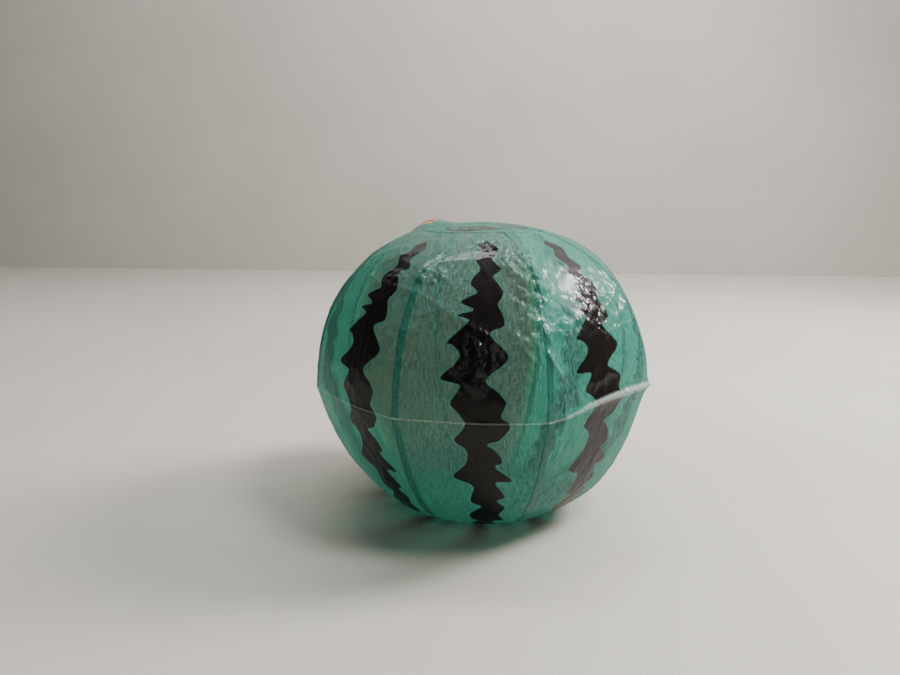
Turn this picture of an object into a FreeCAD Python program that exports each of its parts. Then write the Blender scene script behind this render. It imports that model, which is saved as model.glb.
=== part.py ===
import FreeCAD, Part
import bisect
import math
import os

# A blown-up paper balloon: eight printed paper gores, lapped and glued edge to edge,
# closed by a round paper disc at each pole. The top disc has the hole it is blown up through.
# Millimetres, +Z up. The origin is on the floor, under the middle of the foot.
# Azimuth is counted from -Y towards +X, and gore number 1 is centred on -Y.

# Driving dimensions
equator_radius = 112.0        # to a seam, on the fold round the middle
rise = 102.5                  # from the fold up to the top pole
drop = 87.0                   # from the fold down to the flat foot
foot_radius = 24.0            # the flat that the balloon stands on
paper = 0.25                  # thickness of every paper piece
glue_gap = 0.06               # between two glued layers
disc_radius = 40.0            # the round paper at each pole
blow_hole_radius = 4.0
gore_end_radius = 22.0        # where the gores stop, under the top disc
foot_margin = 0.5             # how far outside the flat foot they stop, and the bottom disc starts to curve
lap_width = 4.0               # the glued margin that runs under the next gore
lap_step = 1.2                # length over which the margin steps down
lap_clearance = 0.3           # between the step and the next gore's edge

# Shape of the inflated skin
gore_count = 8
flatness = 0.50               # 0 is a round skin and 1 is flat from seam to seam
flat_blend = 50.0             # past the disc, over which the flatness comes in
upper_fullness = (2.64, 2.08)
lower_fullness = (2.97, 1.10)

# Sampling of the skin
stations_per_half = 24
samples_across = 9
samples_on_step = 2
samples_on_margin = 3
disc_stations = 12
fine_steps = 4000             # steps in which a profile's length is added up
nudge = 1e-4                  # radians either side of a point, to find which way the skin runs
sewing = 0.01                 # edges this near each other are joined

half_gore = math.pi / gore_count
lap_depth = paper + glue_gap
equator_height = lap_depth + drop


def upper_profile(t):
    """Radius and height over the equator, for t from 0 at the fold to a quarter turn at the pole."""
    across, along = upper_fullness
    radius = equator_radius * math.cos(t) ** (2.0 / across)
    return radius, rise * math.sin(t) ** (2.0 / along)


def lower_profile(t):
    """The same below the equator, where the curve runs into the flat foot."""
    across, along = lower_fullness
    radius = foot_radius + (equator_radius - foot_radius) * math.cos(t) ** (2.0 / across)
    return radius, -drop * math.sin(t) ** (2.0 / along)


def at_depth(profile, t, depth):
    """A point of the profile moved inwards, square to the skin. A negative depth is outwards."""
    radius, height = profile(t)
    if t < nudge:
        return radius - depth, height
    r0, z0 = profile(t - nudge)
    r1, z1 = profile(t + nudge)
    length = math.hypot(r1 - r0, z1 - z0)
    side = 1.0 if height > 0 else -1.0
    return radius - side * depth * (z1 - z0) / length, height + side * depth * (r1 - r0) / length


def parameter_at(profile, wanted_radius):
    """The t at which a profile has come in to a radius."""
    low, high = 0.0, math.pi / 2
    for _ in range(60):
        middle = (low + high) / 2
        if profile(middle)[0] > wanted_radius:
            low = middle
        else:
            high = middle
    return low


def flattened(radius, azimuth):
    """The skin is round at the discs. Away from them it nears a polygon with its corners at the seams."""
    share = min(1.0, max(0.0, (radius - disc_radius) / flat_blend))
    blend = flatness * (1.0 - math.cos(math.pi * share)) / 2.0
    local = (azimuth + half_gore) % (2.0 * half_gore) - half_gore
    return radius * (1.0 - blend * (1.0 - math.cos(half_gore) / math.cos(local)))


def skin_point(profile, t, azimuth, depth):
    radius, height = at_depth(profile, t, depth)
    ring = flattened(radius, azimuth)
    return FreeCAD.Vector(ring * math.sin(azimuth), -ring * math.cos(azimuth), equator_height + height)


def evenly_spaced(profile, start, end, count):
    """Parameters that cut the profile between two of its points into equal lengths."""
    fine = [start + (end - start) * i / fine_steps for i in range(fine_steps + 1)]
    points = [profile(t) for t in fine]
    lengths = [0.0]
    for (r0, z0), (r1, z1) in zip(points, points[1:]):
        lengths.append(lengths[-1] + math.hypot(r1 - r0, z1 - z0))
    picked = [bisect.bisect_left(lengths, lengths[-1] * i / count) for i in range(count)]
    return [fine[i] for i in picked] + [end]


def skin_stations():
    """Every station from the bottom end of a gore, over the fold, to its top end."""
    bottom = parameter_at(lower_profile, foot_radius + foot_margin)
    top = parameter_at(upper_profile, gore_end_radius)
    below = [(lower_profile, t) for t in evenly_spaced(lower_profile, bottom, 0.0, stations_per_half)]
    above = [(upper_profile, t) for t in evenly_spaced(upper_profile, 0.0, top, stations_per_half)]
    return below + above[1:]


def curve_edge(points):
    if len(points) == 2:
        return Part.makeLine(points[0], points[1])
    curve = Part.BSplineCurve()
    curve.interpolate(points)
    return curve.toShape()


def gore_section(station, centre):
    """One ring of a gore: the panel, the step down at its right edge and the margin under its neighbour."""
    profile, t = station
    radius = profile(t)[0]
    left = centre - half_gore
    seam = centre + half_gore
    step_start = seam - (lap_clearance + lap_step) / radius
    step_end = seam - lap_clearance / radius
    margin_end = seam + lap_width / radius

    def layer(depth):
        def run(start, end, start_depth, end_depth, count):
            points = []
            for i in range(count):
                share = i / (count - 1)
                azimuth = start + (end - start) * share
                here = start_depth + (end_depth - start_depth) * share
                points.append(skin_point(profile, t, azimuth, here))
            return points

        under = depth + lap_depth
        return [
            run(left, step_start, depth, depth, samples_across),
            run(step_start, step_end, depth, under, samples_on_step),
            run(step_end, seam, under, under, samples_on_step),
            run(seam, margin_end, under, under, samples_on_margin),
        ]

    outside = layer(0.0)
    inside = layer(paper)
    edges = [curve_edge(points) for points in outside]
    edges.append(Part.makeLine(outside[-1][-1], inside[-1][-1]))
    edges += [curve_edge(points[::-1]) for points in reversed(inside)]
    edges.append(Part.makeLine(inside[0][0], outside[0][0]))
    return Part.Wire(edges)


def end_faces(section):
    """Ruled strips that close a gore's end, each between an outer edge and the inner edge under it."""
    edges = section.Edges
    runs = (len(edges) - 2) // 2
    return [Part.makeRuledSurface(edges[i], edges[2 * runs - i]) for i in range(runs)]


def make_gore(number):
    centre = 2.0 * half_gore * number
    sections = [gore_section(station, centre) for station in skin_stations()]
    skin = Part.makeLoft(sections, False, False)
    faces = list(skin.Faces)
    faces += end_faces(sections[0])
    faces += end_faces(sections[-1])
    shell = Part.makeCompound(faces)
    shell.sewShape(sewing)
    solid = Part.Solid(shell.Shells[0])
    if solid.Volume < 0:
        solid.reverse()
    return solid


def disc_profile(profile, inner_radius, depth):
    """Points of a disc's face, from its inner end out to its rim."""
    start = parameter_at(profile, inner_radius)
    end = parameter_at(profile, disc_radius)
    points = []
    for t in evenly_spaced(profile, start, end, disc_stations):
        radius, height = at_depth(profile, t, depth)
        points.append(FreeCAD.Vector(radius, 0, equator_height + height))
    return points


def revolved(edges):
    face = Part.Face(Part.Wire(edges))
    return face.revolve(FreeCAD.Vector(0, 0, 0), FreeCAD.Vector(0, 0, 1), 360)


def make_top_disc():
    outer = disc_profile(upper_profile, blow_hole_radius, -lap_depth)
    inner = disc_profile(upper_profile, blow_hole_radius, -glue_gap)
    for points in (outer, inner):
        points[0].x = blow_hole_radius
    return revolved([
        curve_edge(outer),
        Part.makeLine(outer[-1], inner[-1]),
        curve_edge(inner[::-1]),
        Part.makeLine(inner[0], outer[0]),
    ])


def make_bottom_disc():
    outer = disc_profile(lower_profile, foot_radius + foot_margin, -lap_depth)
    inner = disc_profile(lower_profile, foot_radius + foot_margin, -glue_gap)
    middle_outer = FreeCAD.Vector(0, 0, outer[0].z)
    middle_inner = FreeCAD.Vector(0, 0, inner[0].z)
    return revolved([
        Part.makeLine(middle_outer, outer[0]),
        curve_edge(outer),
        Part.makeLine(outer[-1], inner[-1]),
        curve_edge(inner[::-1]),
        Part.makeLine(inner[0], middle_inner),
        Part.makeLine(middle_inner, middle_outer),
    ])


def gore_names():
    """The two gores at the back left are printed as the cut fruit, and the rest as its striped rind."""
    cut = (4, 5)
    names = []
    for number in range(gore_count):
        kind = "cut_gore" if number in cut else "rind_gore"
        names.append(f"{kind}_{number + 1}")
    return names


os.makedirs("parts", exist_ok=True)
pieces = {name: make_gore(number) for number, name in enumerate(gore_names())}
pieces["top_disc"] = make_top_disc()
pieces["bottom_disc"] = make_bottom_disc()
for name, shape in pieces.items():
    shape.exportStep(f"parts/{name}.step")
    print(name, "valid" if shape.isValid() else "NOT VALID", round(shape.Volume, 1), "mm3")
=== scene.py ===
import math

import bpy
import numpy as np
from mathutils import Euler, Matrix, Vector


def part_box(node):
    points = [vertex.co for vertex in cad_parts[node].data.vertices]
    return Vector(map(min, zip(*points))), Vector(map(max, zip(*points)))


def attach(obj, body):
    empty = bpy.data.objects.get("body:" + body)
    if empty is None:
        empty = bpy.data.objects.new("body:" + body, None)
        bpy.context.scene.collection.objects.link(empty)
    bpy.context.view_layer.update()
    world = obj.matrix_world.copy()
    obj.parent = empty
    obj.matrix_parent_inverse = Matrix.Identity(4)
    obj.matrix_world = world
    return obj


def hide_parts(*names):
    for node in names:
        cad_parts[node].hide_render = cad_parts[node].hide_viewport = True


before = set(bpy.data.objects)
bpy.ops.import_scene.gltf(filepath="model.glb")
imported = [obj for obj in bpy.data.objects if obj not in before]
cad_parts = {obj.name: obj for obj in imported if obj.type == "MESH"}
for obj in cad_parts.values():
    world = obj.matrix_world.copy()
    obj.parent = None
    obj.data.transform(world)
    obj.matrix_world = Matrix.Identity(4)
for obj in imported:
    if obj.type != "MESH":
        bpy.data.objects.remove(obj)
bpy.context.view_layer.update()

# Sizes of the balloon, in metres and degrees
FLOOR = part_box("bottom_disc")[0].z
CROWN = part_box("top_disc")[1].z
LAYER = 0.00031               # one paper and the glue over it, as far as the gores lie under the discs
SEAM_RADIUS = 0.112           # out to a seam, on the fold round the middle
DROP = 0.087                  # from the fold down to the flat foot
FOLD_HEIGHT = FLOOR + LAYER + DROP
RISE = CROWN - LAYER - FOLD_HEIGHT
FOOT_RADIUS = 0.024
DISC_RADIUS = (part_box("top_disc")[1].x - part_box("top_disc")[0].x) / 2
HOLE_RADIUS = 0.004
TOP_END_RADIUS = 0.022        # where the gores stop under the top disc
PAPER = 0.00012
LAP = 0.004                   # glued margin under the next gore
LAP_STEP = 0.0010
LAP_GAP = 0.0002
GORES = 8
HALF_GORE = math.pi / GORES
FLATNESS = 0.50               # 0 is a round skin, 1 is flat from seam to seam
FLAT_BLEND = 0.050
UPPER_FULLNESS = (2.64, 2.08)
LOWER_FULLNESS = (2.97, 1.10)
GORE_ROWS, GORE_COLUMNS = 271, 91
DISC_ROWS, DISC_COLUMNS = 41, 241
STEP_AT, STEP_TO = 0.945, 0.957   # shares of a gore's columns at which its margin steps down
MARGIN_SINK = 1.8             # how deep a margin lies and how high a disc lies, in paper thicknesses
DISC_LIFT = 1.3
SWELL = 0.0035                # how far the papers wave in and out
RIDGE = 0.00022               # how far they stand out along a crumple's edge

CUT_GORES = (5, 6)
# How far each printed stripe sits from the middle of its gore, in degrees
STRIPE_SHIFT = {1: 3.75, 2: 0.25, 3: 2.5, 4: 4.5, 7: 3.0, 8: 7.75}

# One edge of the black stripe and then the other, from its top tip down.
# Each pair is millimetres above the fold along the paper, and degrees round from the stripe's middle.
STRIPE_LEFT = [
    (115.5, 2.0), (113.3, 0.0), (110.0, -2.8), (105.0, -0.7), (99.0, -3.7), (96.3, -3.5), (89.1, -0.9),
    (83.6, -3.5), (78.1, -4.4), (73.2, -1.7), (70.4, -4.5), (66.5, -7.5), (62.2, -2.6), (58.9, -8.5),
    (56.1, -4.2), (50.0, -7.5), (43.5, -10.8), (42.3, -9.0), (37.4, -6.6), (31.9, -8.0), (27.5, -10.8),
    (23.7, -12.1), (22.0, -8.5), (19.8, -6.2), (11.0, -9.0), (6.6, -7.2), (0.0, -4.6), (-5.5, -6.0),
    (-11.5, -8.2), (-16.5, -5.2), (-20.9, -4.1), (-28.6, -5.2), (-37.4, -9.5), (-41.3, -7.0),
    (-44.0, -3.6), (-47.9, -2.5), (-55.0, -3.6), (-60.5, -3.8), (-62.2, -2.5), (-64.9, 0.4),
    (-71.5, -3.7), (-77.0, -5.0), (-81.4, -4.0), (-85.0, -1.5), (-90.0, -5.5), (-95.0, -3.0),
    (-101.0, -6.5), (-106.0, -2.0), (-112.0, -4.5), (-117.0, -0.5),
]
STRIPE_RIGHT = [
    (113.3, 4.0), (108.9, 7.0), (105.6, 8.0), (100.1, 5.8), (96.8, 4.3), (93.0, 6.0), (88.6, 7.8),
    (85.3, 4.9), (83.1, 4.3), (77.0, 6.6), (73.2, 7.6), (69.3, 6.6), (65.5, 5.2), (60.5, 6.5),
    (55.0, 7.2), (52.8, 6.6), (49.5, 2.5), (45.1, 3.8), (40.7, 6.3), (36.3, 7.9), (31.9, 6.3),
    (27.5, 3.0), (22.6, 1.2), (17.6, 4.5), (13.2, 6.6), (11.0, 6.9), (5.5, 5.7), (3.3, 5.8), (0.0, 8.1),
    (-2.2, 8.3), (-6.6, 7.0), (-11.0, 5.0), (-13.2, 1.6), (-17.6, 4.2), (-22.0, 6.0), (-25.9, 6.7),
    (-27.5, 6.0), (-28.6, 4.0), (-33.0, 6.3), (-38.5, 10.0), (-41.3, 10.0), (-41.8, 5.0), (-49.5, 7.5),
    (-55.0, 9.0), (-58.3, 6.1), (-64.9, 9.8), (-73.7, 8.0), (-77.0, 9.5), (-82.0, 10.5), (-85.0, 6.0),
    (-90.0, 8.5), (-94.0, 9.5), (-98.0, 4.5), (-104.0, 7.5), (-109.0, 3.0), (-114.0, 4.0),
]


# ---------------------------------------------------------------- the skin's rule

QUARTER = math.pi / 2


def upper_angle(radius):
    """How far up the skin's curve it comes in to a radius: 0 at the fold, a quarter turn at the top."""
    return math.acos((radius / SEAM_RADIUS) ** (UPPER_FULLNESS[0] / 2))


def lower_angle(radius):
    """The same going down, with a minus sign. Past a quarter turn the skin is the flat foot."""
    share = (radius - FOOT_RADIUS) / (SEAM_RADIUS - FOOT_RADIUS)
    return -math.acos(share ** (LOWER_FULLNESS[0] / 2))


def evened(angle):
    """An angle on the skin's curve counted so that equal counts are nearly equal lengths of paper."""
    if abs(angle) >= QUARTER:
        return angle
    across, along = UPPER_FULLNESS if angle > 0 else LOWER_FULLNESS
    share = 1 - (1 - abs(angle) / QUARTER) ** (2 / across)
    return math.copysign(QUARTER * share ** (2 / along), angle)


TOP_END = upper_angle(TOP_END_RADIUS)
BOTTOM_END = lower_angle(FOOT_RADIUS + 0.0005)


def skin_table():
    """Millimetres along a gore's middle, and out from the axis, for each angle on the skin's curve."""
    angle = np.linspace(BOTTOM_END, TOP_END, 6001)
    steep = np.abs(angle)
    upper = SEAM_RADIUS * np.cos(steep) ** (2 / UPPER_FULLNESS[0])
    lower = FOOT_RADIUS + (SEAM_RADIUS - FOOT_RADIUS) * np.cos(steep) ** (2 / LOWER_FULLNESS[0])
    radius = np.where(angle > 0, upper, lower)
    height = np.where(angle > 0, RISE * np.sin(steep) ** (2 / UPPER_FULLNESS[1]),
                      -DROP * np.sin(steep) ** (2 / LOWER_FULLNESS[1]))
    share = np.clip((radius - DISC_RADIUS) / FLAT_BLEND, 0, 1)
    middle = radius * (1 - FLATNESS * (1 - np.cos(math.pi * share)) / 2 * (1 - math.cos(HALF_GORE)))
    steps = np.hypot(np.diff(middle), np.diff(height))
    along = np.concatenate([[0], np.cumsum(steps)])
    along -= np.interp(0, angle, along)
    return angle, along * 1000, middle * 1000


SKIN_ANGLE, SKIN_ALONG, SKIN_MIDDLE = skin_table()


class Nodes:
    """Short calls for a node tree: arithmetic, and nodes with their inputs set by name."""

    def __init__(self, tree):
        self.tree = tree

    def add(self, kind, **inputs):
        node = self.tree.nodes.new(kind)
        for name, value in inputs.items():
            self.feed(node.inputs[name.replace("_", " ")], value)
        return node

    def feed(self, socket, value):
        if isinstance(value, bpy.types.NodeSocket):
            self.tree.links.new(value, socket)
        else:
            socket.default_value = value

    def math(self, operation, *values, clamp=False):
        node = self.tree.nodes.new("ShaderNodeMath")
        node.operation = operation
        node.use_clamp = clamp
        for socket, value in zip(node.inputs, values):
            self.feed(socket, value)
        return node.outputs[0]

    def total(self, first, *rest):
        for value in rest:
            first = self.math("ADD", first, value)
        return first

    def times(self, first, *rest):
        for value in rest:
            first = self.math("MULTIPLY", first, value)
        return first

    def minus(self, a, b):
        return self.math("SUBTRACT", a, b)

    def blend(self, a, b, share):
        """a where share is 0 and b where it is 1."""
        return self.total(a, self.times(self.minus(b, a), share))

    def vector(self, operation, *values):
        node = self.tree.nodes.new("ShaderNodeVectorMath")
        node.operation = operation
        for socket, value in zip(node.inputs, values):
            self.feed(socket, value)
        return node.outputs[0]

    def ridges(self, place, scale, width):
        """Sharp lines round the cells of a broken pattern, 1 on a line and 0 past its width."""
        cells = self.add("ShaderNodeTexVoronoi", Vector=place, Scale=scale)
        cells.feature = "DISTANCE_TO_EDGE"
        return self.math("POWER", self.ramp(cells.outputs["Distance"], 0.0, width, 1.0, 0.0), 2.5)

    def ramp(self, value, low, high, to_low=0.0, to_high=1.0, smooth=False):
        node = self.tree.nodes.new("ShaderNodeMapRange")
        node.interpolation_type = "SMOOTHSTEP" if smooth else "LINEAR"
        for socket, number in zip(node.inputs[:5], (value, low, high, to_low, to_high)):
            self.feed(socket, number)
        return node.outputs[0]


def skin_tree():
    """Lays one paper on the skin: a grid bent to the skin's curve, with a glued margin that steps down
    at its right edge where Lapped is 1, and with crumples that every paper shares."""
    tree = bpy.data.node_groups.new("lay a paper", "GeometryNodeTree")
    face = tree.interface
    face.new_socket("Geometry", in_out="OUTPUT", socket_type="NodeSocketGeometry")
    for name in ("Columns", "Rows"):
        face.new_socket(name, in_out="INPUT", socket_type="NodeSocketInt")
    for name in ("Middle", "Half Width", "From", "Between", "To", "Lapped", "Lift", "Fold Height",
                 "Crumple"):
        face.new_socket(name, in_out="INPUT", socket_type="NodeSocketFloat")
    face.new_socket("Paper", in_out="INPUT", socket_type="NodeSocketMaterial")
    n = Nodes(tree)
    given = tree.nodes.new("NodeGroupInput").outputs
    grid = n.add("GeometryNodeMeshGrid", Size_X=1.0, Size_Y=1.0, Vertices_X=given["Columns"],
                 Vertices_Y=given["Rows"])
    flat = n.add("ShaderNodeSeparateXYZ", Vector=n.add("GeometryNodeInputPosition").outputs[0]).outputs
    across = n.math("ADD", flat[0], 0.5)
    first_half = n.ramp(flat[1], -0.5, 0.0, given["From"], given["Between"])
    second_half = n.ramp(flat[1], 0.0, 0.5, given["Between"], given["To"])
    count = n.blend(first_half, second_half, n.math("GREATER_THAN", flat[1], 0.0))
    up = n.math("GREATER_THAN", count, 0.0)
    rounds = n.math("DIVIDE", n.math("ABSOLUTE", count), QUARTER)
    even = n.math("POWER", n.math("MINIMUM", rounds, 1.0),
                  n.blend(LOWER_FULLNESS[1] / 2, UPPER_FULLNESS[1] / 2, up))
    curve_share = n.minus(1.0, n.math("POWER", n.minus(1.0, even),
                                      n.blend(LOWER_FULLNESS[0] / 2, UPPER_FULLNESS[0] / 2, up)))
    steep = n.times(QUARTER, n.total(curve_share, n.math("MAXIMUM", n.minus(rounds, 1.0), 0.0)))
    angle = n.times(steep, n.math("SIGN", count))
    turned = n.math("MINIMUM", steep, QUARTER - 1e-6)
    cosine, sine = n.math("COSINE", turned), n.math("SINE", turned)

    upper_radius = n.times(SEAM_RADIUS, n.math("POWER", cosine, 2 / UPPER_FULLNESS[0]))
    foot = n.times(FOOT_RADIUS, n.ramp(steep, QUARTER, 2 * QUARTER, 1.0, 0.0))
    reach = n.times(SEAM_RADIUS - FOOT_RADIUS, n.math("POWER", cosine, 2 / LOWER_FULLNESS[0]))
    radius = n.blend(n.total(foot, reach), upper_radius, up)
    upper_height = n.times(RISE, n.math("POWER", sine, 2 / UPPER_FULLNESS[1]))
    lower_height = n.times(-DROP, n.math("POWER", sine, 2 / LOWER_FULLNESS[1]))
    height = n.total(given["Fold Height"], n.blend(lower_height, upper_height, up))

    # across the paper: the panel, then the step, then the margin that runs under the next gore
    half = given["Half Width"]
    step_angle = n.times(given["Lapped"], n.math("DIVIDE", LAP_STEP, radius))
    gap_angle = n.times(given["Lapped"], n.math("DIVIDE", LAP_GAP, radius))
    lap_angle = n.times(given["Lapped"], n.math("DIVIDE", LAP, radius))
    panel_share = n.blend(1.0, STEP_AT, given["Lapped"])
    panel_end = n.minus(n.minus(half, step_angle), gap_angle)
    on_panel = n.math("DIVIDE", across, panel_share, clamp=True)
    local = n.total(n.blend(n.times(-1.0, half), panel_end, on_panel),
                    n.times(step_angle, n.ramp(across, STEP_AT, STEP_TO)),
                    n.times(n.total(gap_angle, lap_angle), n.ramp(across, STEP_TO, 1.0)))
    sunk = n.times(given["Lapped"], PAPER * MARGIN_SINK, n.ramp(across, STEP_AT, STEP_TO))

    # away from the discs the ring is nearer a polygon, with a corner at each seam
    azimuth = n.total(given["Middle"], local)
    turn = 2 * HALF_GORE
    folded = n.minus(n.math("FLOORED_MODULO", n.total(azimuth, HALF_GORE), turn), HALF_GORE)
    share = n.ramp(radius, DISC_RADIUS, DISC_RADIUS + FLAT_BLEND, smooth=True)
    chord = n.minus(1.0, n.math("DIVIDE", math.cos(HALF_GORE), n.math("COSINE", folded)))
    ring = n.times(radius, n.minus(1.0, n.times(share, FLATNESS, chord)))
    place = n.add("ShaderNodeCombineXYZ", X=n.times(ring, n.math("SINE", azimuth)),
                  Y=n.times(ring, -1.0, n.math("COSINE", azimuth)), Z=height).outputs[0]

    # the crumples follow the place in space, so that lapped papers move together
    centre = n.add("ShaderNodeCombineXYZ", Z=given["Fold Height"]).outputs[0]
    outward = n.vector("NORMALIZE", n.vector("SUBTRACT", place, centre))
    swell = n.add("ShaderNodeTexNoise", Vector=place, Scale=16.0, Detail=1.0).outputs[0]
    creased = n.add("ShaderNodeTexNoise", Vector=place, Scale=21.0, Detail=2.0).outputs[0]
    patches = n.ramp(creased, 0.48, 0.66, smooth=True)
    big = n.times(n.ridges(place, 42.0, 0.22), RIDGE)
    small = n.times(n.ridges(place, 120.0, 0.30), patches, RIDGE)
    crumple = n.total(n.times(n.minus(swell, 0.5), SWELL), big, small)
    settled = n.ramp(height, 0.001, 0.020, smooth=True)
    out = n.total(n.times(crumple, given["Crumple"], settled), given["Lift"], n.times(-1.0, sunk))
    push = n.vector("SCALE", outward)
    n.feed(push.node.inputs["Scale"], out)
    laid_at = n.vector("ADD", place, push)

    sheet = grid.outputs["Mesh"]
    for name, value in (("azimuth", azimuth), ("angle", angle)):
        store = n.add("GeometryNodeStoreNamedAttribute", Geometry=sheet, Name=name, Value=value)
        sheet = store.outputs[0]
    laid = n.add("GeometryNodeSetPosition", Geometry=sheet, Position=laid_at)
    joined = n.add("GeometryNodeMergeByDistance", Geometry=laid.outputs[0], Distance=1e-6)
    smooth = n.add("GeometryNodeSetShadeSmooth", Geometry=joined.outputs[0])
    real = n.add("GeometryNodeRealizeInstances", Geometry=smooth.outputs[0])
    painted = n.add("GeometryNodeSetMaterial", Geometry=real.outputs[0], Material=given["Paper"])
    n.feed(tree.nodes.new("NodeGroupOutput").inputs[0], painted.outputs[0])
    return tree


def from_tree(name, tree, settings):
    """Runs a node tree once and gives its result as a plain mesh object."""
    maker = bpy.data.objects.new(name + " maker", bpy.data.meshes.new(name + " maker"))
    bpy.context.scene.collection.objects.link(maker)
    modifier = maker.modifiers.new("make", "NODES")
    modifier.node_group = tree
    for socket in tree.interface.items_tree:
        if socket.in_out == "INPUT":
            modifier[socket.identifier] = settings[socket.name]
    seen = maker.evaluated_get(bpy.context.evaluated_depsgraph_get())
    mesh = bpy.data.meshes.new_from_object(seen)
    bpy.data.objects.remove(maker)
    mesh.name = name
    piece = bpy.data.objects.new(name, mesh)
    bpy.context.scene.collection.objects.link(piece)
    return piece


# ---------------------------------------------------------------- reading and writing a paper's mesh

def read_points(mesh):
    points = np.empty(len(mesh.vertices) * 3)
    mesh.vertices.foreach_get("co", points)
    return points.reshape(-1, 3)


def read_value(mesh, name):
    values = np.empty(len(mesh.vertices))
    mesh.attributes[name].data.foreach_get("value", values)
    return values


def store_value(mesh, name, values):
    layer = mesh.attributes.new(name, "FLOAT", "POINT")
    layer.data.foreach_set("value", np.asarray(values, np.float32))


def store_uv(mesh, across, along):
    """The paper's own flat coordinates, in metres."""
    corners = np.empty(len(mesh.loops), np.int32)
    mesh.loops.foreach_get("vertex_index", corners)
    layer = mesh.uv_layers.new(name="paper")
    layer.data.foreach_set("uv", np.column_stack([across, along])[corners].astype(np.float32).ravel())


# ---------------------------------------------------------------- print

OUTSIDE_PRINT = -50.0         # a depth in millimetres that is well outside any print


def curved(outline, parts=4):
    """A closed outline drawn through its points as one smooth line."""
    p = np.asarray(outline, float)
    before, after, later = np.roll(p, 1, 0), np.roll(p, -1, 0), np.roll(p, -2, 0)
    runs = []
    for t in np.arange(parts) / parts:
        straight = 2 * p + (after - before) * t
        bend = (2 * before - 5 * p + 4 * after - later) * t ** 2
        twist = (3 * p - before - 3 * after + later) * t ** 3
        runs.append(0.5 * (straight + bend + twist))
    return np.stack(runs, 1).reshape(-1, 2)


def distance_to_lines(points, start, end):
    """How far each point is from the nearest of some straight lines."""
    best = np.full(len(points), 1e9)
    for a, b in zip(start, end):
        run = b - a
        share = np.clip(((points - a) @ run) / max(run @ run, 1e-12), 0, 1)
        best = np.minimum(best, np.hypot(*(points - a - share[:, None] * run).T))
    return best


def depth_inside(points, outline):
    """How far each point is inside a closed outline, and minus how far outside it."""
    far = np.roll(outline, -1, 0)
    inside = np.zeros(len(points), bool)
    for a, b in zip(outline, far):
        crosses = (a[1] > points[:, 1]) != (b[1] > points[:, 1])
        if crosses.any():
            edge = a[0] + (points[:, 1] - a[1]) * (b[0] - a[0]) / (b[1] - a[1])
            inside ^= crosses & (points[:, 0] < edge)
    away = distance_to_lines(points, outline, far)
    return np.where(inside, away, -away)


def stripe_outline(shift):
    """The stripe's outline on the flat paper, in millimetres across and along."""
    ring = STRIPE_LEFT[::-1] + STRIPE_RIGHT
    along = np.array([point[0] for point in ring])
    degrees = np.array([point[1] for point in ring]) + shift
    across = np.radians(degrees) * np.interp(along, SKIN_ALONG, SKIN_MIDDLE)
    return curved(np.column_stack([across, along]))


def soft_least(values, softness):
    """The least of some values, with its corners rounded."""
    values = np.stack(values)
    lowest = values.min(0)
    return lowest - softness * np.log(np.exp(-(values - lowest) / softness).sum(0))


FLESH_TOP, FLESH_BOTTOM = 129.0, -110.0   # millimetres along a cut gore
RIND_BAND = 0.15                          # share of its half width that stays rind at its outer seam
FLESH_CORNERS = ([60, 125], [7.0, 2.0])   # millimetres along, and how rounded its corners are there
SEEDS = [(121, 0.10), (112, 0.62), (109, -0.35)]   # millimetres up, and share of the gore's half width
SEED_LENGTH, SEED_WIDTH = 4.6, 2.7


def flesh_depth(across, along, outer_side):
    """Millimetres inside the red, which stops short of the outer seam and crosses the inner one."""
    half = HALF_GORE * np.interp(along, SKIN_ALONG, SKIN_MIDDLE)
    from_seam = half * (1 - RIND_BAND) - outer_side * across
    from_ends = [FLESH_TOP - along, along - FLESH_BOTTOM]
    return soft_least([from_seam] + from_ends, np.interp(along, *FLESH_CORNERS))


def seed_depth(across, along, mirror):
    """Depth inside the nearest pip. A pip is an egg with its narrow end up."""
    best = np.full(len(across), OUTSIDE_PRINT)
    for up, side in SEEDS:
        half = HALF_GORE * np.interp(up, SKIN_ALONG, SKIN_MIDDLE)
        dx = across - mirror * side * half
        dy = along - up
        wide = SEED_WIDTH * (1 - 0.35 * np.clip(dy / SEED_LENGTH, -1, 1))
        best = np.maximum(best, (1 - np.hypot(dx / wide, dy / SEED_LENGTH)) * SEED_WIDTH)
    return best


# ---------------------------------------------------------------- creases listed one by one

# Degrees round, and millimetres that the fold rides up there.
FOLD_LIFT = [(-180, 0.0), (24, 0.0), (31, 2.0), (38, 5.5), (46, 7.6), (56, 8.4), (70, 7.4), (80, 5.2),
             (90, 2.0), (100, 0.0), (180, 0.0)]

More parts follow.
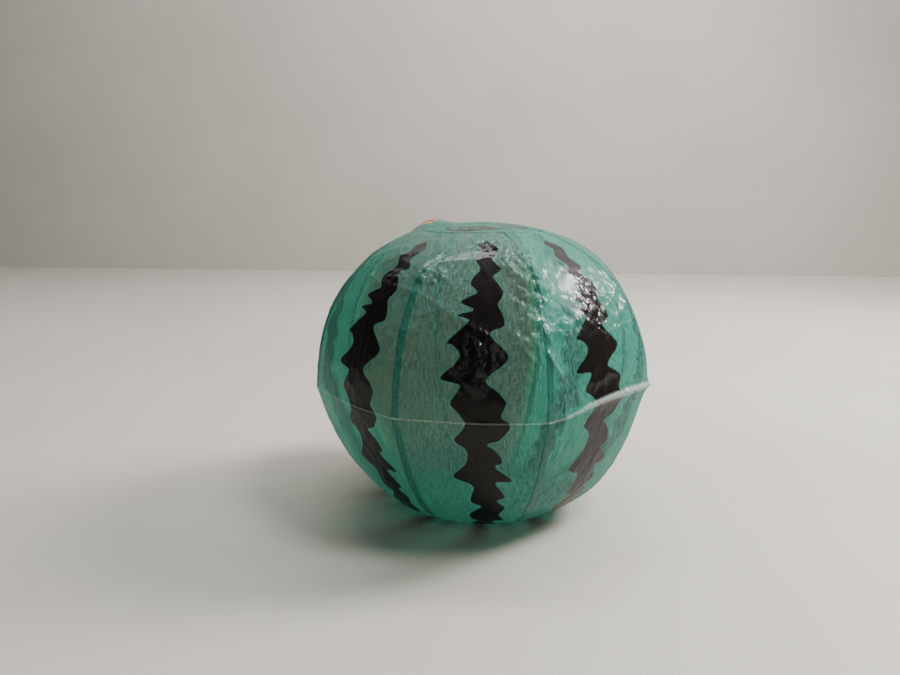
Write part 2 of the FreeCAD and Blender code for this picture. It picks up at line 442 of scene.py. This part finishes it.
# Each crease is its height and its flank's width in millimetres, then its points: degrees round from
# the front, and millimetres above the fold.
CREASES = [
    (0.80, 1.8, [(17, 108), (14.5, 101), (14, 93), (17, 86), (21, 80)]),
    (0.80, 1.8, [(22, 104), (24.5, 90), (28.5, 101)]),
    (0.80, 1.8, [(24.5, 90), (24, 84), (21.5, 80)]),
    (1.90, 2.2, [(14.3, 48), (16.3, 39), (20, 30.5)]),
    (1.90, 2.2, [(23.2, 38), (25, 31), (27, 25)]),
    (1.10, 1.7, [(18.6, 59), (17.8, 52), (20, 44)]),
    (1.10, 1.7, [(21.5, 56), (24.5, 45)]),
    (0.90, 1.6, [(19.5, 43), (21.2, 34)]),
    (0.90, 1.8, [(28.5, 48), (33, 52), (37, 54)]),
    (0.80, 1.8, [(30, 45), (36, 47)]),
    (0.40, 1.4, [(14.5, 69), (18, 63), (21, 61)]),
    (0.55, 1.8, [(-52, 80), (-42, 76), (-34, 75), (-27, 74), (-20, 71), (-13, 66), (-6, 58), (0, 54)]),
    (0.45, 1.6, [(-47, 92), (-42, 98), (-36, 101)]),
    (0.60, 1.8, [(53, 66), (60, 76), (66, 84), (70, 90)]),
    (0.60, 1.8, [(52, 58), (60, 65), (70, 75)]),
    (0.55, 1.8, [(55, 74), (61, 86), (64, 97)]),
    (0.55, 1.8, [(58, 52), (66, 59), (74, 62)]),
    (0.50, 1.6, [(63, 47), (72, 53)]),
    (0.60, 1.8, [(40, 57), (46, 66), (53, 80)]),
    (0.50, 1.6, [(42, 53), (50, 66)]),
    (0.50, 1.6, [(48, 43), (56, 46)]),
    (0.45, 1.5, [(-4, 37), (-1, 28), (1, 21)]),
    (0.45, 1.4, [(-3, 33), (1, 26)]),
    (0.45, 1.4, [(0, 52), (4.5, 49), (7.5, 44)]),
    (0.50, 1.6, [(-5, 44), (3, 42), (9.5, 35)]),
    (0.45, 1.4, [(-3, 30), (7.5, 50)]),
    (0.40, 1.4, [(2, 22), (1.5, 40)]),
    (0.45, 1.6, [(28, 12), (28.6, 0), (28, -24)]),
    (0.45, 1.8, [(17, -62), (13, -92), (9, -112)]),
    (0.40, 1.8, [(-14, -70), (-10, -96), (-6, -114)]),
    (0.45, 1.6, [(-32, 24), (-27, 26), (-22, 22)]),
    (0.50, 1.8, [(118, 82), (124, 60), (121, 41), (128, 20)]),
    (0.45, 1.6, [(142, 96), (150, 82), (147, 66)]),
    (0.50, 1.8, [(-112, 90), (-104, 72), (-108, 50)]),
    (0.45, 1.6, [(-150, 40), (-141, 30), (-138, 12)]),
    (0.50, 1.8, [(196, 70), (204, 56), (200, 38), (208, 24)]),
    (0.45, 1.6, [(170, -30), (176, -48), (172, -66)]),
]
# Crushed places: degrees round, then millimetres above the fold, half width, half height and depth.
CRUSHED = [
    (22, 76, 11, 12, 1.7), (30, 50, 9, 6, 1.3), (19, 50, 9, 10, 1.2), (20, 92, 13, 12, 0.9),
    (1, 34, 13, 18, 0.7), (-24, 49, 11, 5, 0.9), (-18, 84, 9, 6, 0.8), (-24, 37, 7, 4, 0.7),
    (-35, 81, 10, 5, 0.6), (62, 66, 22, 26, 0.45), (48, 62, 12, 20, 0.35), (-20, 28, 6, 4, 0.5),
    (6, 112, 12, 7, 0.6), (132, 60, 16, 14, 0.8), (-160, 55, 15, 13, 0.8), (-96, 30, 13, 11, 0.7),
]


def wrapped(degrees):
    return (degrees + 180.0) % 360.0 - 180.0


def crushed_height(azimuth, along, scatter):
    """Facets inside each crushed place, as in squeezed paper, and how crushed each point is."""
    height = np.zeros(len(azimuth))
    crushed = np.zeros(len(azimuth))
    for place, up, half_width, half_height, depth in CRUSHED:
        middle = np.interp(up, SKIN_ALONG, SKIN_MIDDLE)
        x = np.radians(wrapped(azimuth - place)) * middle
        y = along - up
        count = int(half_width * half_height / 7.0) + 8
        cells = scatter.uniform(-1.25, 1.25, (count, 2)) * (half_width, half_height)
        near = np.hypot(x / half_width, y / half_height) < 1.2
        if not near.any():
            continue
        gaps = np.sort(np.hypot(x[near][:, None] - cells[:, 0], y[near][:, None] - cells[:, 1]), axis=1)
        facets = np.minimum((gaps[:, 1] - gaps[:, 0]) / 4.0, 1.0)
        edge = np.clip(2.4 - 2.0 * np.hypot(x[near] / half_width, y[near] / half_height), 0, 1)
        height[near] += depth * facets * edge
        crushed[near] = np.maximum(crushed[near], edge * min(depth / 0.7, 1.0))
    return height, crushed


def crease_height(azimuth, along):
    """Sharp ridges that fall away on both flanks, and how near each place is to one."""
    height = np.zeros(len(azimuth))
    creased = np.zeros(len(azimuth))
    for tall, wide, route in CREASES:
        middle_up = np.mean([point[1] for point in route])
        middle = np.interp(middle_up, SKIN_ALONG, SKIN_MIDDLE)
        start_degrees = route[0][0]
        x = np.radians(wrapped(azimuth - start_degrees)) * middle
        line = np.array([(math.radians(wrapped(a - start_degrees)) * middle, up) for a, up in route])
        near = (np.abs(x - line[:, 0].mean()) < 60) & (np.abs(along - middle_up) < 60)
        if near.any():
            away = distance_to_lines(np.column_stack([x, along])[near], line[:-1], line[1:])
            height[near] += tall * np.exp(-away / wide)
            creased[near] = np.maximum(creased[near], np.exp(-away / 3.0))
    return height, creased


# Places near the top that bulge up: degrees round, then millimetres from the axis, reach and rise.
BULGES = [(-127, 50, 15, 7.0), (-115, 40, 20, 1.2), (180, 22, 30, 1.3), (-40, 60, 20, -1.0),
          (60, 58, 18, -0.8)]


def bulge(mesh):
    """Lifts the paper at each bulge, gores and disc together."""
    points = read_points(mesh)
    for degrees, radius, reach, rise in BULGES:
        x = radius / 1000 * math.sin(math.radians(degrees))
        y = -radius / 1000 * math.cos(math.radians(degrees))
        away = np.hypot(points[:, 0] - x, points[:, 1] - y) * 1000
        upper = points[:, 2] > FOLD_HEIGHT
        points[upper, 2] += rise / 1000 * np.exp(-(away[upper] / reach) ** 2)
    mesh.vertices.foreach_set("co", points.ravel())
    mesh.update()


def crease(mesh, azimuth, along):
    """Moves the paper out at each crease and facet, and lifts the fold where it rides up."""
    points = read_points(mesh)
    degrees = wrapped(np.degrees(azimuth))
    lift = np.interp(degrees, *np.array(FOLD_LIFT).T)
    lip = 0.4 + 0.25 * lift
    creased_out, creased = crease_height(degrees, along)
    crushed_out, crushed = crushed_height(degrees, along, np.random.default_rng(7))
    reach = 1.1 + 0.20 * lift
    near_fold = np.exp(-np.abs(along) / reach)
    out = creased_out + crushed_out + lip * near_fold
    outward = points - (0, 0, FOLD_HEIGHT)
    outward /= np.linalg.norm(outward, axis=1)[:, None]
    points += outward * (out / 1000)[:, None]
    points[:, 2] += lift / 1000 * np.exp(-(along / 26.0) ** 2)
    mesh.vertices.foreach_set("co", points.ravel())
    mesh.update()
    store_value(mesh, "crushed", np.maximum(crushed, 0.6 * creased))
    # fold and lifted shape the pale line along the fold: worn paper, and a painted highlight on the lip
    # that grows wider and stronger where the fold rides up.
    store_value(mesh, "fold", np.abs(along) / (1 + 0.42 * lift))
    store_value(mesh, "lifted", np.clip(lift / 6.0, 0, 1))


# ---------------------------------------------------------------- papers

def shader(name, fill):
    material = bpy.data.materials.new(name)
    material.use_nodes = True
    tree = material.node_tree
    tree.nodes.clear()
    n = Nodes(tree)
    surface = fill(n)
    n.feed(tree.nodes.new("ShaderNodeOutputMaterial").inputs["Surface"], surface)
    return material


def colour_mix(n, share, a, b):
    node = n.tree.nodes.new("ShaderNodeMix")
    node.data_type = "RGBA"
    for socket, value in ((node.inputs[0], share), (node.inputs[6], a), (node.inputs[7], b)):
        n.feed(socket, value)
    return node.outputs[2]


def attribute(n, name):
    node = n.tree.nodes.new("ShaderNodeAttribute")
    node.attribute_name = name
    return node.outputs["Fac"]


def fibre_patterns(n):
    """Streaks that run down the paper, and the clouds between them."""
    uv = n.tree.nodes.new("ShaderNodeUVMap")
    uv.uv_map = "paper"
    fibres = []
    for length_share, scale in ((0.18, 1000.0), (0.50, 1400.0)):
        drawn_out = n.vector("MULTIPLY", uv.outputs[0], (1.0, length_share, 1.0))
        noise = n.add("ShaderNodeTexNoise", Vector=drawn_out, Scale=scale, Detail=2.0, Roughness=0.6)
        fibres.append(noise.outputs[0])
    streaks, flecks = fibres
    clouds = n.add("ShaderNodeTexNoise", Vector=uv.outputs[0], Scale=58.0, Detail=3.0).outputs[0]
    return uv.outputs[0], streaks, flecks, clouds


# Inks and papers, as red, green and blue shares of light
RIND_DEEP = (0.011, 0.098, 0.076, 1)
RIND_PALE = (0.105, 0.320, 0.272, 1)
DOUBLED = (0.010, 0.120, 0.095, 1)
FLESH_DEEP = (0.480, 0.022, 0.016, 1)
FLESH_PALE = (0.780, 0.090, 0.050, 1)
PITH = (0.560, 0.640, 0.300, 1)
BLACK_INK = (0.0050, 0.0038, 0.0028, 1)
# pale fold line: worn, broken fibres, and partly a painted highlight on the fold's lip
WORN_AND_HIGHLIGHT = (0.820, 0.900, 0.870, 1)
CLEAR = (0.740, 0.960, 0.920, 1)
INNER_RIND_DEEP = (0.160, 0.540, 0.450, 1)
INNER_RIND_PALE = (0.400, 0.840, 0.750, 1)
INNER_FLESH_DEEP = (0.800, 0.060, 0.040, 1)
INNER_FLESH_PALE = (0.970, 0.160, 0.100, 1)
INNER_PITH = (0.720, 0.820, 0.420, 1)
INNER_INK = (0.020, 0.020, 0.020, 1)
PITH_FROM, PITH_TO = -3.2, -2.2   # millimetres: the pith fades in over this depth outside the red


def print_masks(n, ink_softness, flesh_softness):
    """Where the black ink, the red and the pith are. The softness of their edges is in millimetres."""
    ink = n.ramp(attribute(n, "ink"), -ink_softness, ink_softness)
    flesh = n.ramp(attribute(n, "flesh"), -flesh_softness, flesh_softness)
    pith = n.ramp(attribute(n, "flesh"), PITH_FROM - 2 * flesh_softness, PITH_TO + flesh_softness,
                  smooth=True)
    return ink, flesh, pith


def crumple_bump(n, uv, fibres):
    """The way the fibrous paper faces, and the way its glaze faces. Both have sharp-edged crumples."""
    crushed = n.ramp(attribute(n, "crushed"), 0.0, 0.8, 0.05, 1.0)
    slanted = n.vector("MULTIPLY", uv, (1.0, 0.7, 1.0))
    facets = 0.0
    for scale, share in ((88.0, 1.3), (250.0, 0.28)):
        folds = n.add("ShaderNodeTexVoronoi", Vector=slanted, Scale=scale)
        folds.feature = "DISTANCE_TO_EDGE"
        facets = n.total(facets, n.times(folds.outputs["Distance"], share))
    crumples = n.tree.nodes.new("ShaderNodeBump")
    crumples.inputs["Strength"].default_value = 1.0
    crumples.inputs["Distance"].default_value = 0.0030
    n.feed(crumples.inputs["Height"], n.times(facets, crushed))
    fine = n.tree.nodes.new("ShaderNodeBump")
    fine.inputs["Strength"].default_value = 0.6
    fine.inputs["Distance"].default_value = 0.00040
    n.feed(fine.inputs["Height"], fibres)
    n.feed(fine.inputs["Normal"], crumples.outputs[0])
    return fine.outputs[0], crumples.outputs[0]


def outer_face(n):
    """The outside of a paper: dyed, glazed and fibrous, and half clear, so that light comes through.
    Along the fold it is paler: worn, and where the fold rides up, with a painted highlight.
    """
    uv, streaks, flecks, clouds = fibre_patterns(n)
    ink, flesh, pith = print_masks(n, 0.12, 0.4)
    fibres = n.total(n.times(streaks, 0.5), n.times(flecks, 0.5))
    mottled = n.ramp(fibres, 0.42, 0.60)
    grain = n.total(0.05, n.times(mottled, 0.9))
    shade = n.math("MULTIPLY_ADD", n.minus(clouds, 0.5), 0.7, grain, clamp=True)
    doubled = n.ramp(attribute(n, "doubled"), -0.3, 0.3)
    rind = colour_mix(n, n.times(doubled, 0.75), colour_mix(n, shade, RIND_DEEP, RIND_PALE), DOUBLED)
    red = colour_mix(n, shade, FLESH_DEEP, FLESH_PALE)
    dyed = colour_mix(n, flesh, colour_mix(n, pith, rind, PITH), red)
    # A pale line along the fold, which also pales the ink: worn paper, and a painted highlight that is
    # stronger where the fold rides up.
    fold = n.ramp(attribute(n, "fold"), 0.25, 0.85, 1.0, 0.0, smooth=True)
    wear_and_highlight = n.blend(0.45, 0.95, attribute(n, "lifted"))
    rubbed_and_highlight = n.times(fold, n.ramp(flecks, 0.30, 0.55, 0.4, 1.0), wear_and_highlight)
    dyed = colour_mix(n, rubbed_and_highlight, dyed, WORN_AND_HIGHLIGHT)
    inked = n.times(ink, n.minus(1.0, n.times(rubbed_and_highlight, 0.5)))
    colour = colour_mix(n, inked, dyed, BLACK_INK)

    normal, glazed = crumple_bump(n, uv, fibres)
    skin = n.tree.nodes.new("ShaderNodeBsdfPrincipled")
    n.feed(skin.inputs["Base Color"], colour)
    n.feed(skin.inputs["Normal"], normal)
    n.feed(skin.inputs["Coat Normal"], glazed)
    n.feed(skin.inputs["Roughness"], n.ramp(flecks, 0.3, 0.7, 0.30, 0.46))
    n.feed(skin.inputs["Specular IOR Level"], n.blend(0.22, 0.08, ink))
    n.feed(skin.inputs["Coat Weight"], n.blend(0.45, 0.30, ink))
    skin.inputs["Coat Roughness"].default_value = 0.06
    clear = n.tree.nodes.new("ShaderNodeBsdfTransparent")
    clear.inputs["Color"].default_value = CLEAR
    cover = n.blend(n.ramp(mottled, 0.0, 1.0, 0.24, 0.58), 0.62, doubled)
    mix = n.tree.nodes.new("ShaderNodeMixShader")
    n.feed(mix.inputs[0], n.blend(cover, 0.99, ink))
    n.feed(mix.inputs[1], clear.outputs[0])
    n.feed(mix.inputs[2], skin.outputs[0])
    return mix.outputs[0]


def inner_face(n):
    """The inside of a paper, which glows with the light from outside. The print looks soft here."""
    uv, streaks, flecks, clouds = fibre_patterns(n)
    ink, flesh, pith = print_masks(n, 2.0, 4.5)
    mottled = n.ramp(n.total(n.times(streaks, 0.5), n.times(flecks, 0.5)), 0.40, 0.62)
    rind = colour_mix(n, mottled, INNER_RIND_DEEP, INNER_RIND_PALE)
    red = colour_mix(n, mottled, INNER_FLESH_DEEP, INNER_FLESH_PALE)
    dyed = colour_mix(n, flesh, colour_mix(n, pith, rind, INNER_PITH), red)
    colour = colour_mix(n, n.times(ink, 0.65), dyed, BLACK_INK)
    glow = n.tree.nodes.new("ShaderNodeBsdfTranslucent")
    n.feed(glow.inputs["Color"], colour)
    back = n.tree.nodes.new("ShaderNodeBsdfPrincipled")
    n.feed(back.inputs["Base Color"], colour)
    back.inputs["Roughness"].default_value = 0.6
    clear = n.tree.nodes.new("ShaderNodeBsdfTransparent")
    n.feed(clear.inputs["Color"], colour_mix(n, ink, dyed, INNER_INK))
    solid = n.tree.nodes.new("ShaderNodeMixShader")
    solid.inputs[0].default_value = 0.30
    n.feed(solid.inputs[1], glow.outputs[0])
    n.feed(solid.inputs[2], back.outputs[0])
    mix = n.tree.nodes.new("ShaderNodeMixShader")
    n.feed(mix.inputs[0], n.blend(n.blend(0.36, 0.70, flesh), 0.97, ink))
    n.feed(mix.inputs[1], clear.outputs[0])
    n.feed(mix.inputs[2], solid.outputs[0])
    return mix.outputs[0]


OUTSIDE = shader("glazed paper outside", outer_face)
INSIDE = shader("glazed paper inside", inner_face)
SKIN_TREE = skin_tree()


def finish_paper(piece, node):
    """Gives a paper its thickness and its place in the model."""
    piece.data.materials.append(INSIDE)
    solid = piece.modifiers.new("paper", "SOLIDIFY")
    solid.thickness = PAPER
    solid.offset = -1
    solid.material_offset = 1
    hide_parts(node)
    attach(piece, "root")


def lay(name, **settings):
    """One paper laid on the skin by the tree. Whatever isn't given is as for a round end paper."""
    full = {"Columns": DISC_COLUMNS, "Rows": DISC_ROWS, "Middle": 0.0, "Half Width": math.pi,
            "Lapped": 0.0, "Lift": 0.0, "Fold Height": FOLD_HEIGHT, "Crumple": 1.0, "Paper": OUTSIDE}
    full.update({key.replace("_", " "): value for key, value in settings.items()})
    return from_tree(name, SKIN_TREE, full)


def make_gore(number):
    node = ("cut_gore_" if number in CUT_GORES else "rind_gore_") + str(number)
    middle = 2 * HALF_GORE * (number - 1)
    piece = lay(node + "_paper", Columns=GORE_COLUMNS, Rows=GORE_ROWS, Middle=middle,
                Half_Width=HALF_GORE, From=evened(BOTTOM_END), Between=0.0, To=evened(TOP_END),
                Lapped=1.0)
    mesh = piece.data
    azimuth, angle = read_value(mesh, "azimuth"), read_value(mesh, "angle")
    along = np.interp(angle, SKIN_ANGLE, SKIN_ALONG)
    across = (azimuth - middle) * np.interp(angle, SKIN_ANGLE, SKIN_MIDDLE)
    crease(mesh, azimuth, along)
    if number in CUT_GORES:
        outer_side = -1 if number == CUT_GORES[0] else 1
        ink = seed_depth(across, along, outer_side)
        flesh = flesh_depth(across, along, outer_side)
    else:
        ink = depth_inside(np.column_stack([across, along]), stripe_outline(STRIPE_SHIFT[number]))
        flesh = np.full(len(along), OUTSIDE_PRINT)
    bulge(mesh)
    store_value(mesh, "ink", ink)
    store_value(mesh, "flesh", flesh)
    from_left_edge = across + HALF_GORE * np.interp(angle, SKIN_ANGLE, SKIN_MIDDLE)
    store_value(mesh, "doubled", LAP * 1000 - from_left_edge)
    store_uv(mesh, across / 1000, along / 1000)
    finish_paper(piece, node)


# The vine tendril printed on the top paper, in millimetres to the right of the middle and behind it.
# It is one long coil that unwinds to the right, with two clipped ends beside it.
TENDRIL = [
    [(-19, -20), (-14, -32), (-6, -33), (-7, -24), (-13, -25), (-9, -34), (-1, -33), (0, -25),
     (-5, -24), (-2, -32), (6, -30), (7, -23), (2, -21), (5, -28), (12, -26), (17, -19), (22, -21),
     (27, -16)],
    [(11, -11), (16, -14), (20, -12)],
    [(14, -5), (20, -7), (24, -3)],
]
TENDRIL_HALF_WIDTH = 1.30


def open_curve(points, parts=6):
    ring = curved(points, parts)
    return ring[: (len(points) - 1) * parts + 1]


def make_disc(node, from_angle, to_angle, tendril):
    start, end = evened(from_angle), evened(to_angle)
    piece = lay(node + "_paper", From=start, Between=(start + end) / 2, To=end, Lift=PAPER * DISC_LIFT)
    mesh = piece.data
    points = read_points(mesh)
    flat = points[:, :2] * 1000
    ink = np.full(len(points), OUTSIDE_PRINT)
    if tendril:
        for route in TENDRIL:
            line = open_curve(route)
            ink = np.maximum(ink, TENDRIL_HALF_WIDTH - distance_to_lines(flat, line[:-1], line[1:]))
    bulge(mesh)
    store_value(mesh, "ink", ink)
    plain = {"flesh": OUTSIDE_PRINT, "fold": -OUTSIDE_PRINT, "lifted": 0.0, "doubled": -1.0,
             "crushed": 0.2}
    for name, value in plain.items():
        store_value(mesh, name, np.full(len(points), value))
    store_uv(mesh, points[:, 0], points[:, 1])
    finish_paper(piece, node)


for number in range(1, GORES + 1):
    make_gore(number)
make_disc("top_disc", upper_angle(DISC_RADIUS), upper_angle(HOLE_RADIUS), True)
make_disc("bottom_disc", -math.pi, lower_angle(DISC_RADIUS), False)


# ---------------------------------------------------------------- floor, lights and camera

def floor_finish(n):
    spots = n.add("ShaderNodeTexNoise", Scale=3.0, Detail=5.0)
    n.feed(spots.inputs["Vector"], n.tree.nodes.new("ShaderNodeTexCoord").outputs["Object"])
    stone = n.tree.nodes.new("ShaderNodeBsdfPrincipled")
    pale = colour_mix(n, spots.outputs[0], (0.36, 0.345, 0.310, 1), (0.46, 0.445, 0.405, 1))
    n.feed(stone.inputs["Base Color"], pale)
    stone.inputs["Roughness"].default_value = 0.55
    return stone.outputs[0]


def make_stage(name, corners, material):
    mesh = bpy.data.meshes.new(name)
    mesh.from_pydata(corners, [], [(0, 1, 2, 3)])
    mesh.materials.append(material)
    board = bpy.data.objects.new(name, mesh)
    bpy.context.scene.collection.objects.link(board)


def make_room():
    """A pale floor, and a pale wall well behind it."""
    half, back, tall = 4.0, 1.6, 3.0
    plaster = shader("pale plaster", floor_finish)
    foot = [(half, back, FLOOR), (-half, back, FLOOR)]
    make_stage("floor", [(-half, -half, FLOOR), (half, -half, FLOOR)] + foot, plaster)
    make_stage("wall", foot[::-1] + [(half, back, tall), (-half, back, tall)], plaster)


def soft_light(name, place, aim, size, power, colour):
    """A rectangular lamp. The sizes are in metres and the power is in watts."""
    lamp = bpy.data.lights.new(name, "AREA")
    lamp.shape = "RECTANGLE"
    lamp.size, lamp.size_y = size
    lamp.energy = power
    lamp.color = colour
    holder = bpy.data.objects.new(name, lamp)
    holder.location = place
    holder.rotation_euler = (Vector(aim) - Vector(place)).to_track_quat("-Z", "Y").to_euler()
    bpy.context.scene.collection.objects.link(holder)


def make_camera():
    """In front of the balloon, a little above its fold and to its right, looking slightly down."""
    away, above = 0.470, 0.1176
    round_by, down, aside = math.radians(3.75), math.radians(10.99), math.radians(2.67)
    lens = bpy.data.cameras.new("camera")
    lens.lens, lens.sensor_width = 28.0, 36.0
    lens.dof.use_dof = False
    camera = bpy.data.objects.new("camera", lens)
    camera.location = (away * math.sin(round_by), -away * math.cos(round_by), FOLD_HEIGHT + above)
    camera.rotation_euler = Euler((QUARTER - down, 0, aside + round_by))
    bpy.context.scene.collection.objects.link(camera)
    bpy.context.scene.camera = camera


make_room()
make_camera()
MIDDLE = (0, 0, FOLD_HEIGHT)
soft_light("window", (1.08, 0.38, 1.02), MIDDLE, (0.36, 0.52), 44.0, (1.0, 0.945, 0.91))
soft_light("skylight", (0.69, -0.31, 1.42), MIDDLE, (0.34, 0.34), 15.0, (1.0, 0.98, 0.96))
soft_light("sky", (0.0, 1.0, 1.7), MIDDLE, (2.4, 1.2), 9.0, (0.96, 0.98, 1.0))
soft_light("front", (0.9, -1.6, 1.0), MIDDLE, (1.2, 1.0), 5.0, (1.0, 0.98, 0.96))
soft_light("wall wash", (0.3, 0.55, 1.9), (0.1, 1.6, 0.5), (2.2, 0.5), 52.0, (1.0, 0.99, 0.97))

world = bpy.data.worlds.new("room")
world.use_nodes = True
world.node_tree.nodes["Background"].inputs["Color"].default_value = (0.55, 0.54, 0.52, 1)
world.node_tree.nodes["Background"].inputs["Strength"].default_value = 0.16
bpy.context.scene.world = world
